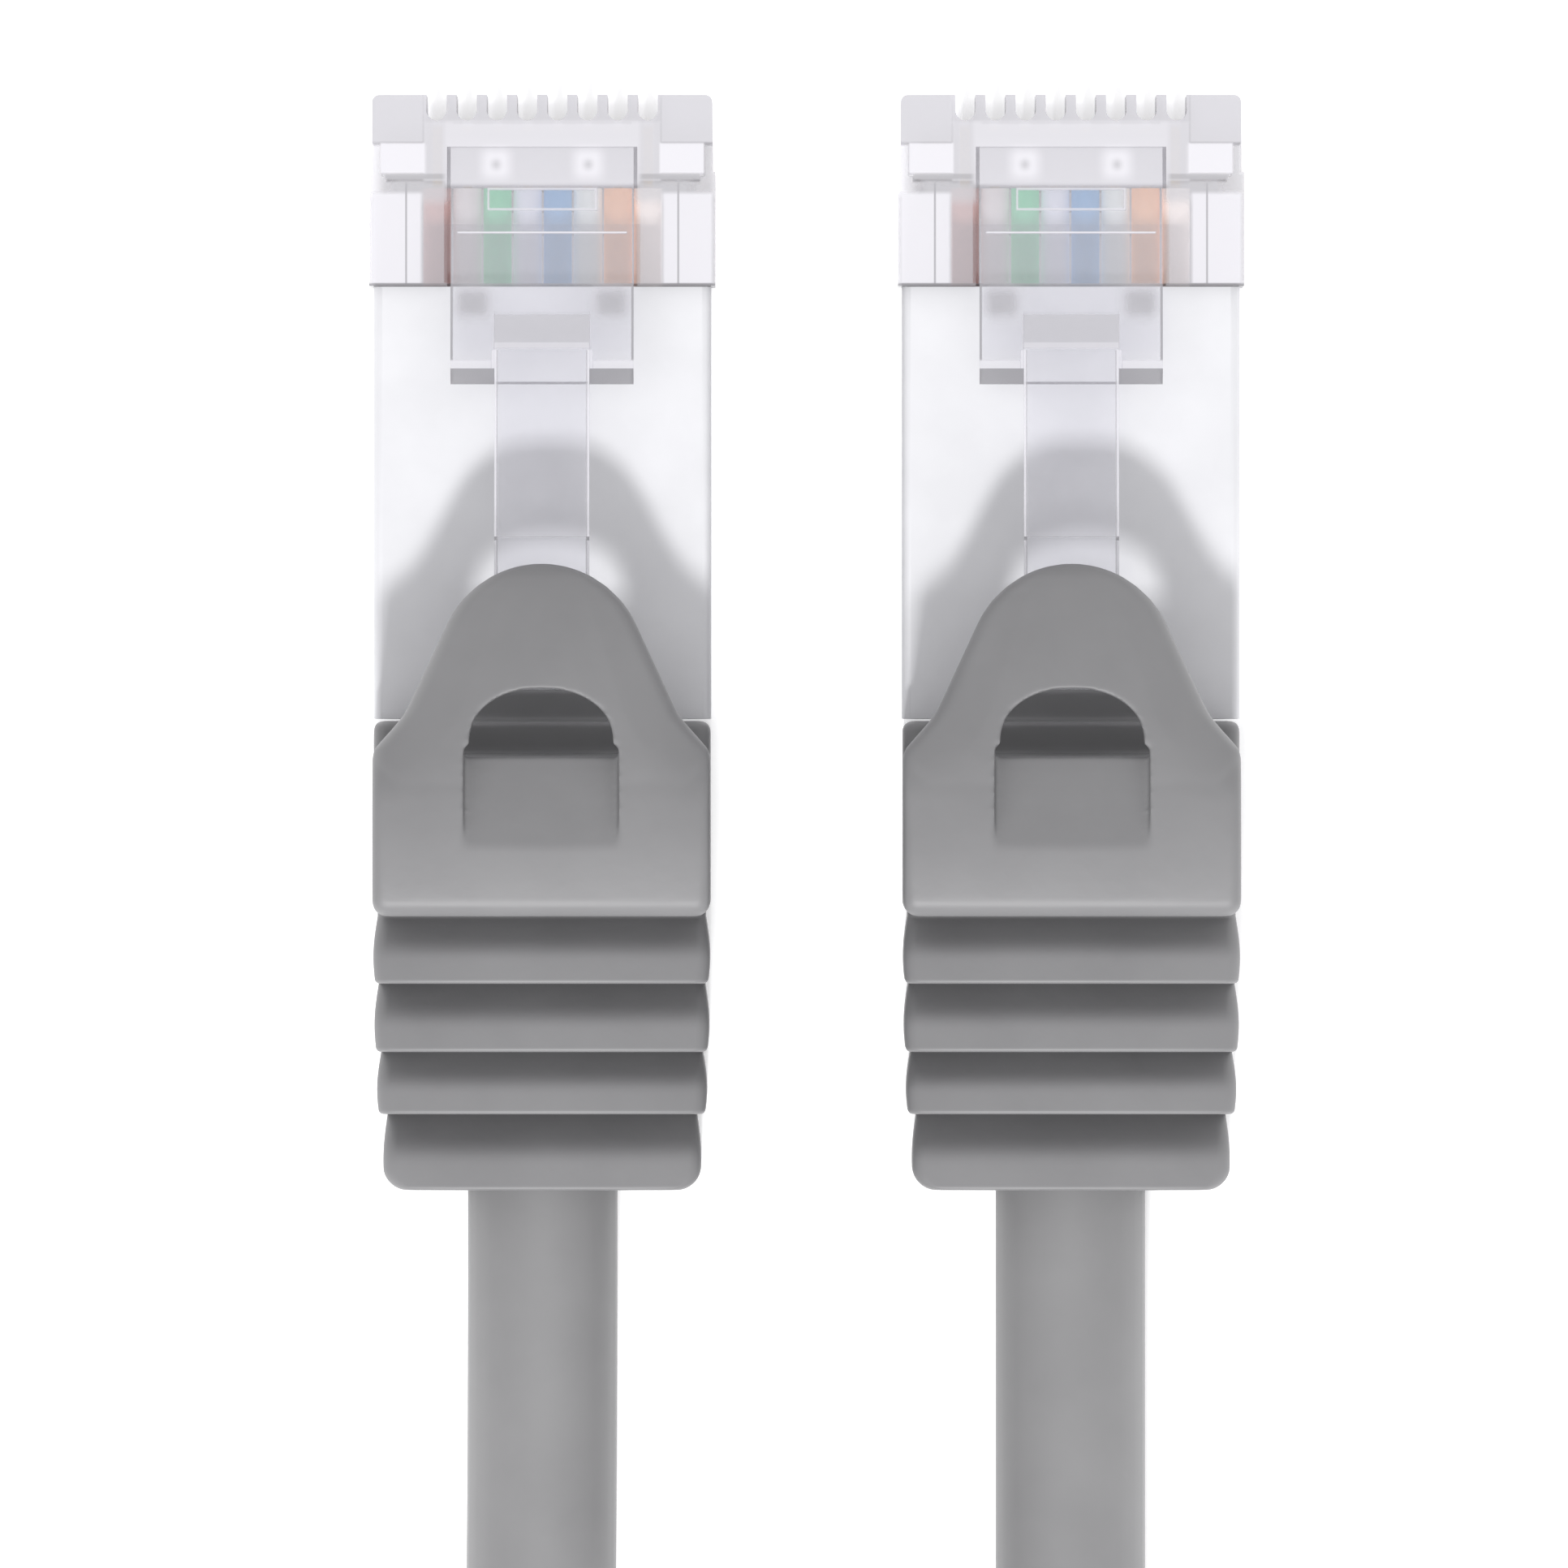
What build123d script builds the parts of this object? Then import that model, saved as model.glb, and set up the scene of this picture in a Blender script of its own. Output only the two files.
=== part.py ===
from build123d import *
from math import cos, pi, radians, sin, tan
import os

# Patch cable with two shielded eight-way plugs that lie side by side, latch side up.
# +X to the right, +Y towards the noses of the plugs, +Z up.
# Origin: foot of the pair, halfway between the plugs and halfway along plug and boot, without the cable.
# A depth is a distance behind the nose of a plug, so it grows towards -Y.

os.makedirs("parts", exist_ok=True)

# Driving dimensions, in millimetres and degrees
plug_offset = 8.9            # from the middle of the pair to the axis of each plug
nose_y = 18.43
boot_end = 36.87             # depth of the rear end of the boot
cable_radius = 2.525
cable_height = 3.35          # height of the cable's centre line above the floor

contact_pitch = 1.016
contact_count = 8

nose_width = 11.46
block_width = 11.65
nose_depth = 2.6             # where the nose widens to the full block
block_depth = 6.43           # where the shield starts
plug_low = 0.3
plug_high = 6.9

notch_width = 0.68
notch_depth = 0.86

shield_width = 11.37
shield_low = 0.35
shield_high = 6.35
shield_wall = 0.25
shield_end = 21.0

pocket_width = 9.06
pocket_front = 3.0
pocket_rear = 7.4
pocket_half_height = 0.92
gather_end = 12.6            # where the cavity narrows to the jacket

blade_thickness = 0.32
wire_radius = 0.475
core_radius = 0.25
wire_front = 3.1

latch_pivot_depth = 1.75
latch_pivot_height = 6.4
latch_slope = 12.0
latch_half_thickness = 0.45
latch_width = 6.16
lever_width = 3.19

hinge_depth = 22.9
hinge_height = 12.7
hinge_radius = 0.9
hinge_gap = 0.06

boot_width = 11.33
boot_front = 21.08
boot_shoulder = 8.4          # height of the boot in front of the hump
hump_end = 27.64

hood_tip = 15.8
hood_tip_radius = 3.5
hood_flare = 25.0
window_width = 4.82
window_front = 19.98         # top of the arch of the window
window_shoulder = 21.4       # where its straight sides start
window_rear = 22.16
lip_width = 5.8              # lip of the boot under the window
lip_front = 20.02
lip_top = 7.25

# Ribs of the boot: depth, height and width where each one ends
rib_ends = [(29.9, 12.0, 11.3), (32.2, 10.6, 11.25), (34.3, 9.3, 11.1), (boot_end, 8.0, 10.7)]
rib_step = 1.25              # how far each rib rises from its groove to its ridge
rib_side_step = 0.14
rib_foot_step = 0.45

# Coil of the put-away cable: an oval with straight sides
coil_middle_y = -83.2
coil_half_run = 9.2
outer_turn = 20.3
inner_turn = 15.2
upper_turn = 17.75
upper_rise = 4.36            # an upper strand rests in the groove between two lower ones
tie_thickness = 0.7
tie_length = 9.0
tie_gap = 0.1


def at(depth, height=0.0, x=0.0):
    """Place on the plug at a depth behind its nose."""
    return Pos(x, nose_y - depth, height)


def block(width, front, rear, low, high, x=0.0):
    """Box between two depths and two heights."""
    return at((front + rear) / 2, (low + high) / 2, x) * Box(width, rear - front, high - low)


def side_slab(outline, width, x=0.0):
    """Slab across the width whose side view is an outline of (depth, height) points."""
    plane = Plane(origin=(x + width / 2, nose_y, 0), x_dir=(0, -1, 0), z_dir=(-1, 0, 0))
    return extrude(plane * make_face(Polyline(*outline, close=True)), amount=width)


def rod(radius, front, rear, height=cable_height, x=0.0):
    """Round bar along Y between two depths."""
    return at((front + rear) / 2, height, x) * Rot(90, 0, 0) * Cylinder(radius, rear - front)


def cross_bar(radius, length, depth, height):
    """Round bar along X."""
    return at(depth, height) * Rot(0, 90, 0) * Cylinder(radius, length)


def contact_x(index):
    """Place across the plug of a contact, counted from the left as seen from the latch side."""
    return (index - (contact_count - 1) / 2) * contact_pitch


# ---------------------------------------------------------------- plug

def make_housing():
    body = block(nose_width, 0, nose_depth, plug_low, plug_high)
    body = fillet(body.edges().filter_by(Axis.Z).group_by(Axis.Y)[-1], 0.25)
    body += block(block_width, nose_depth, block_depth, plug_low, plug_high)
    core_width = shield_width - 2 * shield_wall
    core_low = shield_low + shield_wall
    core_high = shield_high - shield_wall
    body += block(core_width, block_depth, shield_end - shield_wall, core_low, core_high)

    # U notches of the comb and the slots of the contacts behind them
    notch_radius = notch_width / 2
    slot_width = blade_thickness + 0.04
    for index in range(contact_count):
        x = contact_x(index)
        body -= block(notch_width, -0.1, notch_depth - notch_radius, 0, plug_high + 1, x)
        body -= at(notch_depth - notch_radius, plug_high / 2, x) * Cylinder(notch_radius, plug_high + 2)
        body -= block(slot_width, notch_depth, 4.25, plug_low - 0.1, 2.62, x)

    # Pocket of the wires, space where they gather, and bore of the jacket
    body -= block(pocket_width, pocket_front, pocket_rear, cable_height - pocket_half_height,
                  cable_height + pocket_half_height)
    body -= block(8.6, pocket_rear, gather_end, 1.3, 5.4)
    body -= rod(cable_radius + 0.035, 11.9, shield_end)

    # Relief pockets beside the contacts
    for side in (-1, 1):
        body -= block(1.5, 1.6, 2.65, plug_low - 0.1, 4.0, side * 4.68)

    # Recess that the latch bends down into, with a round seat for its root
    seat_radius = latch_half_thickness + 0.05
    body -= block(latch_width + 0.24, latch_pivot_depth, block_depth + 0.1, 5.82, plug_high + 0.1)
    body -= cross_bar(seat_radius, latch_width + 0.24, latch_pivot_depth, latch_pivot_height)
    return body


def make_latch():
    # Drawn level from the pivot and then tilted up to the slope that it has at rest
    reach = cos(radians(latch_slope))

    def along(depth):
        return latch_pivot_depth + (depth - latch_pivot_depth) / reach

    shoulder = along(9.66)
    low = -latch_half_thickness
    high = latch_half_thickness
    plate = side_slab([(latch_pivot_depth, low), (shoulder, low), (shoulder - 0.35, high),
                       (latch_pivot_depth, high)], latch_width)
    plate += cross_bar(latch_half_thickness, latch_width, latch_pivot_depth, 0)
    lever = side_slab([(along(7.4) - 0.6, high - 0.2), (along(7.4), high), (along(8.57), 1.05), (along(15.1), 1.05),
                       (along(15.1) + 0.08, 0.78), (along(19.6) - 0.3, 0.78), (along(19.6), 0.45),
                       (along(19.6), -0.15), (shoulder + 0.5, -0.15), (shoulder - 0.6, low)], lever_width)
    level = plate + lever
    pivot_y = nose_y - latch_pivot_depth
    tilted = Pos(0, -pivot_y, 0) * level
    return Pos(0, pivot_y, latch_pivot_height) * Rot(-latch_slope, 0, 0) * tilted


def make_blades():
    profile = [(0.95, 1.1), (1.3, 0.75), (3.8, 0.75), (4.15, 1.1), (4.15, 2.6), (4.0, 3.45), (3.78, 2.75),
               (3.6, 3.45), (3.42, 2.75), (3.2, 3.45), (3.05, 2.6), (0.95, 2.6)]
    return [side_slab(profile, blade_thickness, contact_x(index)) for index in range(contact_count)]


def make_load_bar():
    bar = block(pocket_width - 0.04, 4.32, pocket_rear - 0.05, cable_height - pocket_half_height + 0.02,
                cable_height + pocket_half_height - 0.02)
    return bar - block(contact_count * contact_pitch, 4.2, pocket_rear, cable_height - wire_radius - 0.02,
                       cable_height + wire_radius + 0.02)


def wire_route(index):
    """Centre line of one wire: in one flat row at the contacts, bundled round at the jacket."""
    bundle = [(-1.1, -1.0), (-1.1, 1.0), (-0.62, 0.0), (0.0, -1.0), (0.0, 1.0), (0.62, 0.0), (1.1, 1.0), (1.1, -1.0)]
    start_x = contact_x(index)
    end_x, rise = bundle[index]
    rising_x = start_x + 0.2 * (end_x - start_x)
    points = [(start_x, nose_y - wire_front, cable_height),
              (start_x, nose_y - 7.4, cable_height),
              (rising_x, nose_y - 9.0, cable_height + 0.6 * rise),
              (end_x, nose_y - 12.4, cable_height + rise),
              (end_x, nose_y - 14.8, cable_height + rise)]
    return FilletPolyline(*points, radius=0.9)


def swept_wire(index, radius):
    route = wire_route(index)
    return sweep(Plane(origin=route @ 0, z_dir=route % 0) * Circle(radius), path=route)


def make_wires():
    """Insulation and conductor of each wire, both pierced by the blades."""
    insulation = []
    cores = []
    for index, blade in enumerate(make_blades()):
        core = swept_wire(index, core_radius)
        insulation.append(swept_wire(index, wire_radius) - core - blade)
        cores.append(core - blade)
    return insulation, cores


def make_shield():
    shell = block(shield_width, block_depth + 0.02, shield_end, shield_low, shield_high)
    shell = fillet(shell.edges().filter_by(Axis.Y), 0.3)
    core_width = shield_width - 2 * shield_wall
    core_low = shield_low + shield_wall
    core_high = shield_high - shield_wall
    shell -= block(core_width, block_depth, shield_end - shield_wall, core_low, core_high)
    return shell - rod(cable_radius + 0.03, shield_end - 1, shield_end + 1)


def make_collar():
    return rod(2.92, shield_end, 25.0) - rod(2.69, shield_end - 1, 26.0)


def make_braid():
    return rod(2.68, 21.2, 24.8) - rod(2.54, 21.0, 25.0)


def make_jacket():
    return rod(cable_radius, 12.0, boot_end) - rod(2.02, 11.0, 15.0)


# ---------------------------------------------------------------- boot

def tongue_plan():
    """Hood and hump seen from above: a round tip with straight flared sides."""
    lean = radians(hood_flare)
    tip_centre = hood_tip + hood_tip_radius
    side_x = hood_tip_radius * cos(lean)
    side_depth = tip_centre - hood_tip_radius * sin(lean)
    full_x = boot_width / 2
    full_depth = side_depth + (full_x - side_x) / tan(lean)

    def point(x, depth):
        return (x, nose_y - depth)

    tip = ThreePointArc(point(-side_x, side_depth), point(0, hood_tip), point(side_x, side_depth))
    rest = Polyline(point(side_x, side_depth), point(full_x, full_depth), point(full_x, hump_end),
                    point(-full_x, hump_end), point(-full_x, full_depth), point(-side_x, side_depth))
    return make_face([tip, rest])


def rounded_section(depth, low, high, width, radius):
    """Rounded rectangle across the boot at a depth."""
    plane = Plane(origin=(0, nose_y - depth, (low + high) / 2), x_dir=(1, 0, 0), z_dir=(0, -1, 0))
    return plane * RectangleRounded(width, high - low, radius)


def window_and_recess():
    """Opening behind the tip of the hood and the recess that fades out behind it."""
    half = window_width / 2
    shoulder_y = nose_y - window_shoulder
    rear_y = nose_y - window_rear
    arch = ThreePointArc((-half, shoulder_y), (0, nose_y - window_front), (half, shoulder_y))
    sides = Polyline((half, shoulder_y), (half, rear_y), (-half, rear_y), (-half, shoulder_y))
    window = Pos(0, 0, 10) * extrude(make_face([arch, sides]), amount=8, dir=(0, 0, 1))
    recess = side_slab([(22.1, 12.5), (25.3, 13.9), (25.3, 16), (22.1, 16)], 5.19)
    return window + recess


def make_boot():
    lower = extrude(rounded_section(boot_front, 0, boot_shoulder, boot_width, 1.0), amount=hump_end - boot_front)
    hump_side = [(hinge_depth, 5), (hump_end, 5), (hump_end, 13.3), (26.4, 13.85), (25.0, 13.95),
                 (hinge_depth, hinge_height + hinge_radius)]
    hump = side_slab(hump_side, boot_width + 1) & extrude(tongue_plan(), amount=20, dir=(0, 0, 1))
    top_edges = [edge for edge in hump.edges() if edge.center().Z > 13 and abs(edge.center().X) > 5]
    hump = fillet(top_edges, 0.8)
    hump -= cross_bar(hinge_radius + hinge_gap, boot_width + 2, hinge_depth, hinge_height)
    body = lower + hump

    start = hump_end
    for end, height, width in rib_ends:
        front = rounded_section(start, rib_foot_step, height - rib_step, width - 2 * rib_side_step, 1.6)
        rear = rounded_section(end, 0, height, width, 1.6)
        body += loft([front, rear])
        start = end
    body -= window_and_recess()
    body += block(lip_width, lip_front, boot_front + 0.5, shield_high + 0.05, lip_top)
    body -= rod(cable_radius + 0.03, boot_front - 1, boot_end + 1)
    return body - rod(2.95, boot_front - 1, 25.1)


def make_hood():
    side = [(hood_tip - 1, 11.0), (22.3, 11.9), (hinge_depth, 12.2), (hinge_depth, hinge_height + hinge_radius),
            (hood_tip + 0.2, 12.3), (hood_tip - 1, 12.0)]
    plate = side_slab(side, boot_width + 1) & extrude(tongue_plan(), amount=20, dir=(0, 0, 1))
    root_width = boot_width - 0.6
    bead = cross_bar(hinge_radius, root_width, hinge_depth, hinge_height)
    return plate + bead - window_and_recess()


# ---------------------------------------------------------------- cable

def cable_tube(name, points):
    """Tube of the cable on straight runs with arcs as large as the runs allow."""
    places = [Vector(*point) for point in points]
    runs = [after - before for before, after in zip(places, places[1:])]
    radii = []
    for before, after in zip(runs, runs[1:]):
        turn = radians(before.get_angle(after))
        radii.append(0.45 * min(before.length, after.length) / tan(turn / 2))
    print(name, "radii", [round(radius, 1) for radius in radii])
    route = FilletPolyline(*points, radius=radii)
    tube = sweep(Plane(origin=route @ 0, z_dir=route % 0) * Circle(cable_radius), path=route)
    section = pi * cable_radius ** 2
    print(name, "length", round(route.length, 2), "volume ratio", round(tube.volume / (section * route.length), 4))
    return tube


coil_top_y = coil_middle_y + coil_half_run
boot_end_y = nose_y - boot_end

route_a = [(-plug_offset, boot_end_y, cable_height), (-plug_offset, -29.5, cable_height),
           (-9.1, -41.0, cable_height), (-12.6, -52.0, cable_height), (-18.2, -62.5, cable_height),
           (-outer_turn, coil_top_y, cable_height)]

# The end that leaves the top of the coil crosses over its lower turns
route_b = [(plug_offset, boot_end_y, cable_height), (plug_offset, -29.0, cable_height),
           (plug_offset, -40.5, 4.3), (11.8, -51.5, 7.0), (16.3, -62.6, 8.75),
           (upper_turn, coil_top_y, 8.2)]


def coil_half_outline(left, right, y, above):
    """Half circle of the coil's plan, above or below the straight sides."""
    centre = (left + right) / 2
    radius = (right - left) / 2
    bulge = radius if above else -radius
    return ThreePointArc((left, y), (centre, y + bulge), (right, y))


def coil_plan(outer, inner, top_left):
    """Ring with straight sides. Its top half is only as wide as its strands at the left end."""
    low_y = coil_middle_y - coil_half_run
    outside = make_face([coil_half_outline(top_left, outer, coil_top_y, True),
                         Line((outer, coil_top_y), (outer, low_y)),
                         coil_half_outline(-outer, outer, low_y, False),
                         Line((-outer, low_y), (-outer, coil_top_y)),
                         Line((-outer, coil_top_y), (top_left, coil_top_y))])
    inside = make_face([coil_half_outline(-inner, inner, coil_top_y, True),
                        Line((inner, coil_top_y), (inner, low_y)),
                        coil_half_outline(-inner, inner, low_y, False),
                        Line((-inner, low_y), (-inner, coil_top_y))])
    return outside - inside


def make_coil():
    strand = cable_radius
    base = cable_height - strand
    lower = Pos(0, 0, base) * extrude(coil_plan(outer_turn + strand, inner_turn - strand, -upper_turn),
                                      amount=2 * strand, dir=(0, 0, 1))
    upper = Pos(0, 0, base + 2 * strand) * extrude(
        coil_plan(upper_turn + strand, upper_turn - strand, -upper_turn - strand + 0.01),
        amount=upper_rise, dir=(0, 0, 1))
    # The upper strand only lies on the left half of the top bend
    upper -= Pos(upper_turn, coil_top_y + 15, 15) * Box(2 * upper_turn, 30, 30)
    return lower + upper


def make_tie(side):
    """Strap round the strands on one straight side of the coil."""
    strand = cable_radius
    middle = side * (outer_turn + inner_turn) / 2
    half_low = (outer_turn - inner_turn) / 2 + strand + tie_gap
    half_high = strand + tie_gap
    low = cable_height - strand - tie_gap
    high = cable_height + upper_rise + strand + tie_gap
    shoulder = cable_height + strand + tie_gap
    plane = Plane(origin=(middle, coil_middle_y + tie_length / 2, 0), x_dir=(1, 0, 0), z_dir=(0, -1, 0))
    hollow = plane * make_face(Polyline((-half_low, low), (half_low, low), (half_low, shoulder),
                                        (half_high, high), (-half_high, high), (-half_low, shoulder), close=True))
    outside = offset(hollow, amount=tie_thickness, kind=Kind.INTERSECTION)
    return extrude(outside - hollow, amount=tie_length)


# ---------------------------------------------------------------- export

wire_names = ["wire_brown", "wire_white_brown", "wire_green", "wire_white_blue", "wire_blue", "wire_white_green",
              "wire_orange", "wire_white_orange"]

end_pieces = {
    "plug_housing": make_housing(),
    "latch_lever": make_latch(),
    "contact_blades": Compound(make_blades()),
    "load_bar": make_load_bar(),
    "shield_shell": make_shield(),
    "crimp_collar": make_collar(),
    "braid_sleeve": make_braid(),
    "jacket_end": make_jacket(),
    "boot": make_boot(),
    "boot_hood": make_hood(),
}
insulation, cores = make_wires()
end_pieces["wire_cores"] = Compound(cores)
for name, wire in zip(wire_names, insulation):
    end_pieces[name] = wire

for suffix, x in (("a", -plug_offset), ("b", plug_offset)):
    for name, piece in end_pieces.items():
        export_step(Pos(x, 0, 0) * piece, f"parts/{name}_{suffix}.step")

export_step(cable_tube("lead a", route_a), "parts/cable_lead_a.step")
export_step(cable_tube("lead b", route_b), "parts/cable_lead_b.step")
export_step(make_coil(), "parts/cable_coil.step")
export_step(make_tie(-1), "parts/tie_left.step")
export_step(make_tie(1), "parts/tie_right.step")
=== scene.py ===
from math import cos, radians, sin, tan

import bmesh
import bpy
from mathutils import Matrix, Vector


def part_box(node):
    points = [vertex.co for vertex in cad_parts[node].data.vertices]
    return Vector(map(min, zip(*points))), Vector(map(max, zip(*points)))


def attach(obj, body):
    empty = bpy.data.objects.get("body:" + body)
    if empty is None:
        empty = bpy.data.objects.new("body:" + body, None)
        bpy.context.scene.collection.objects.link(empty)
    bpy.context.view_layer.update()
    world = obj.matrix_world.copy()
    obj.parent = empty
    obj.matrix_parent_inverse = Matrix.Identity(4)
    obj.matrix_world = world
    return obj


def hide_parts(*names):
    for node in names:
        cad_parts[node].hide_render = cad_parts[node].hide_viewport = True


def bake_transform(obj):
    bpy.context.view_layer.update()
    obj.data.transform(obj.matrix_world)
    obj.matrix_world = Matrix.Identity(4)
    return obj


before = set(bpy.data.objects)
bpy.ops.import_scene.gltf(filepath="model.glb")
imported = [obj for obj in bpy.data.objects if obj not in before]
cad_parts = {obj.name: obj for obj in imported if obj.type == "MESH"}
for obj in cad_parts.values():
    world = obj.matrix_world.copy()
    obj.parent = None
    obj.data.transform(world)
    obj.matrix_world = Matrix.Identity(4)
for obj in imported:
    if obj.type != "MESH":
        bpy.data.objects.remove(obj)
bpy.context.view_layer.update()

MM = 0.001


def from_box(node):
    """Corners of a CAD node in millimetres."""
    low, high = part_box(node)
    return low / MM, high / MM


# Places that everything else is worked out from, in millimetres
boot_low, boot_high = from_box("boot_b")
plug_offset = (boot_low.x + boot_high.x) / 2
nose_y = from_box("plug_housing_b")[1].y
boot_end = nose_y - boot_low.y
boot_width = boot_high.x - boot_low.x
cable_low, cable_high = from_box("cable_lead_a")
cable_height = (cable_low.z + cable_high.z) / 2
cable_radius = (cable_high.z - cable_low.z) / 2
shield_high = from_box("shield_shell_b")[1]
end_x = {"a": -plug_offset, "b": plug_offset}


# ---------------------------------------------------------------- camera and cord

def make_camera():
    """Long lens straight above the plugs, noses up in the picture."""
    seen_width = 52.8
    middle_x = -0.76
    middle_depth = 23.2
    camera_data = bpy.data.cameras.new("camera")
    camera_data.lens = 1000
    camera_data.sensor_width = 36
    camera_data.clip_start = 0.1
    camera_data.clip_end = 10
    camera = bpy.data.objects.new("camera", camera_data)
    distance = seen_width * camera_data.lens / camera_data.sensor_width
    camera.location = Vector((middle_x, nose_y - middle_depth, shield_high.z + distance)) * MM
    bpy.context.collection.objects.link(camera)
    bpy.context.scene.camera = camera


# Coil of the put-away cable, in millimetres. It starts wide, goes on inside itself and ends on top
coil_middle_y = -83.2
coil_half_run = 9.2
outer_turn = 20.3
inner_turn = 15.2
upper_turn = 17.75
upper_rise = 4.36
crossing_rise = 5.1
last_rise = 0.4
bend_step = 20


def ease(start, end, value):
    """0 before start, 1 after end, and smooth between them."""
    share = min(1.0, max(0.0, (value - start) / (end - start)))
    return share * share * (3 - 2 * share)


def strand(turned):
    """Half width of the coil and height of the cable after turning so many degrees."""
    half_width = outer_turn - (outer_turn - inner_turn) * ease(200, 340, turned)
    half_width += (upper_turn - inner_turn) * ease(560, 700, turned)
    height = cable_height + crossing_rise * ease(520, 640, turned)
    height -= (crossing_rise - upper_rise) * ease(640, 720, turned)
    height += last_rise * ease(860, 900, turned)
    return half_width, height


def bend_point(turned):
    """Point round an end of the coil. It lies outside the half circle, so that the curve touches that."""
    half_width, height = strand(turned)
    radius = half_width / cos(radians(bend_step / 2))
    across = -radius * cos(radians(turned))
    along = radius * sin(radians(turned))
    run = coil_half_run if along > 0 else -coil_half_run
    return (across, coil_middle_y - along - run, height)


def run_point(half_turns, share):
    """Point of a straight side. Share runs from -1 where the side starts to 1 where it ends."""
    half_width, height = strand(180 * half_turns + 10 * share)
    side = -1 if half_turns % 2 == 0 else 1
    reach = coil_half_run + half_width * tan(radians(bend_step / 2))
    return (side * half_width, coil_middle_y + side * share * reach, height)


def coil_points():
    """Points of the whole coil: half circles joined by straight sides."""
    points = [run_point(0, 0), run_point(0, 0.5)]
    for half in range(5):
        points += [bend_point(180 * half + angle) for angle in range(10, 171, bend_step)]
        shares = (-0.5, 0, 0.5) if half < 4 else (-0.5, 0)
        points += [run_point(half + 1, share) for share in shares]
    return points


# Route of the cable outside the coil, the same points as the CAD tubes
boot_end_y = nose_y - boot_end
coil_top_y = coil_middle_y + coil_half_run
route_a = [(-plug_offset, boot_end_y, cable_height), (-plug_offset, -29.5, cable_height),
           (-9.1, -41.0, cable_height), (-12.6, -52.0, cable_height), (-18.2, -62.5, cable_height),
           (-outer_turn, coil_top_y, cable_height)]
route_b = [(plug_offset, boot_end_y, cable_height), (plug_offset, -29.0, cable_height),
           (plug_offset, -40.5, 4.3), (11.8, -51.5, 7.0), (16.3, -62.6, 8.75),
           (upper_turn, coil_top_y, 8.2)]


def make_cable(material):
    """Whole cable as one smooth tube, from boot a round the coil to boot b."""
    points = route_a + coil_points() + route_b[::-1]
    curve = bpy.data.curves.new("cable", "CURVE")
    curve.dimensions = "3D"
    curve.bevel_depth = cable_radius * MM
    curve.bevel_resolution = 10
    curve.resolution_u = 10
    spline = curve.splines.new("NURBS")
    spline.points.add(len(points) - 1)
    for place, point in zip(spline.points, points):
        place.co = (point[0] * MM, point[1] * MM, point[2] * MM, 1)
    spline.order_u = 3
    spline.use_endpoint_u = True
    curve.materials.append(material)
    cable = bpy.data.objects.new("cable", curve)
    bpy.context.collection.objects.link(cable)
    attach(cable, "cable")
    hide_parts("cable_lead_a", "cable_lead_b", "cable_coil")
    return cable


# ---------------------------------------------------------------- materials

def new_material(name):
    material = bpy.data.materials.new(name)
    material.use_nodes = True
    nodes = material.node_tree.nodes
    links = material.node_tree.links
    return material, nodes, links, nodes["Principled BSDF"]


def mottle(nodes, links, shader, dark, light, scale, low=0.35, high=0.65):
    """Base colour that wanders between two close tones."""
    place = nodes.new("ShaderNodeTexCoord")
    noise = nodes.new("ShaderNodeTexNoise")
    noise.inputs["Scale"].default_value = scale
    noise.inputs["Detail"].default_value = 5
    ramp = nodes.new("ShaderNodeValToRGB")
    ramp.color_ramp.elements[0].position = low
    ramp.color_ramp.elements[0].color = (*dark, 1)
    ramp.color_ramp.elements[1].position = high
    ramp.color_ramp.elements[1].color = (*light, 1)
    links.new(place.outputs["Object"], noise.inputs["Vector"])
    links.new(noise.outputs["Fac"], ramp.inputs["Fac"])
    links.new(ramp.outputs["Color"], shader.inputs["Base Color"])
    return place, noise


def grain(nodes, links, shader, place, scale, strength, distance):
    """Fine bump all over."""
    noise = nodes.new("ShaderNodeTexNoise")
    noise.inputs["Scale"].default_value = scale
    noise.inputs["Detail"].default_value = 3
    bump = nodes.new("ShaderNodeBump")
    bump.inputs["Strength"].default_value = strength
    bump.inputs["Distance"].default_value = distance
    links.new(place.outputs["Object"], noise.inputs["Vector"])
    links.new(noise.outputs["Fac"], bump.inputs["Height"])
    links.new(bump.outputs["Normal"], shader.inputs["Normal"])


def roughness_wander(nodes, links, shader, noise, low, high):
    """Roughness that wanders with the colour."""
    scale = nodes.new("ShaderNodeMapRange")
    scale.inputs["To Min"].default_value = low
    scale.inputs["To Max"].default_value = high
    links.new(noise.outputs["Fac"], scale.inputs["Value"])
    links.new(scale.outputs["Result"], shader.inputs["Roughness"])


def moulded_plastic(name, dark, light, rough, grain_scale, grain_strength):
    """Plastic or rubber with two close tones and a fine grain."""
    material, nodes, links, shader = new_material(name)
    place, noise = mottle(nodes, links, shader, dark, light, 260)
    roughness_wander(nodes, links, shader, noise, rough - 0.05, rough + 0.05)
    grain(nodes, links, shader, place, grain_scale, grain_strength, 0.00003)
    return material


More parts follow.
